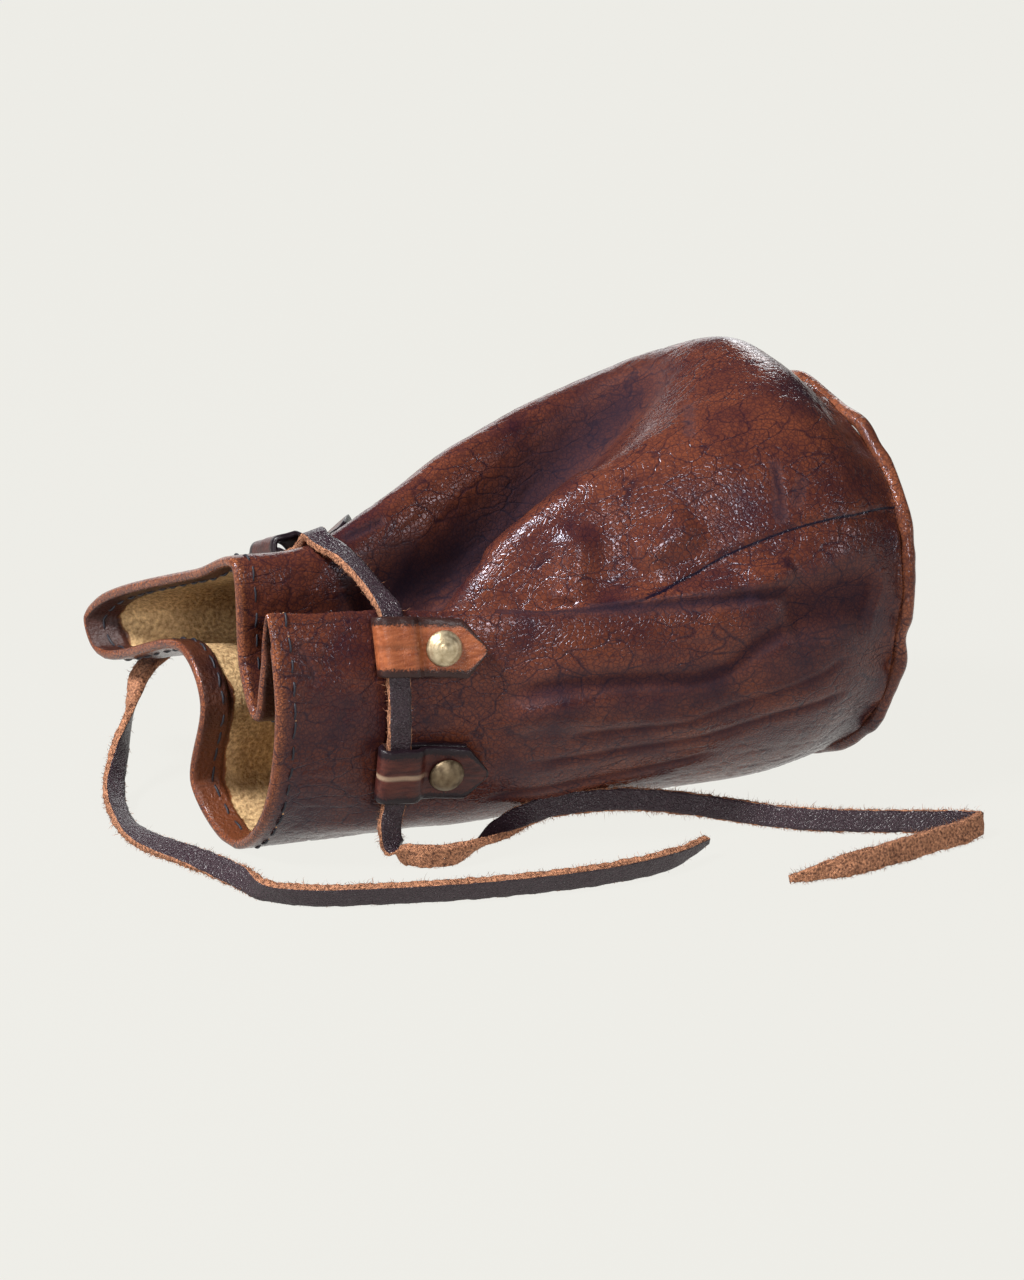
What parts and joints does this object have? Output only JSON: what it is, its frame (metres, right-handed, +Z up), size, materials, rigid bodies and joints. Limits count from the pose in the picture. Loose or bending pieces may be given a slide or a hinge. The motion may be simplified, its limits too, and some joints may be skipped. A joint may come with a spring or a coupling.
{
  "type": "leather drawstring belt pouch",
  "caption": "Round-based leather drawstring pouch lying on its side, its mouth gathered by a flat lace that runs through riveted keeper tabs and leaves two loose ends.",
  "frame": {"origin": "on the floor under the middle of the pouch's box, with the loose lace ends left out", "axes": "+X from the mouth to the base, +Z up, -Y the front with its keeper tabs"},
  "size_m": [0.186, 0.1631, 0.1091],
  "materials": {
    "brown_leather": "glazed, fine crackle grain",
    "dark_leather": "glazed, dark burnished edges",
    "cognac_leather": "smooth, dark burnished edges",
    "lace_leather": "dark smooth grain side, fuzzy orange-brown flesh side",
    "antique_brass": "antique, satin"
  },
  "bodies": {
    "root": {"pouch_wall": "brown_leather", "base_welt": "brown_leather", "base_panel": "dark_leather", "keeper_1": "cognac_leather", "keeper_2": "dark_leather", "keeper_3": "dark_leather", "keeper_4": "dark_leather", "rivet_1": "antique_brass", "rivet_2": "antique_brass", "rivet_3": "antique_brass", "rivet_4": "antique_brass", "lace_neck": "lace_leather", "lace_end_front": "lace_leather", "lace_end_back": "lace_leather"}
  },
  "joints": []
}
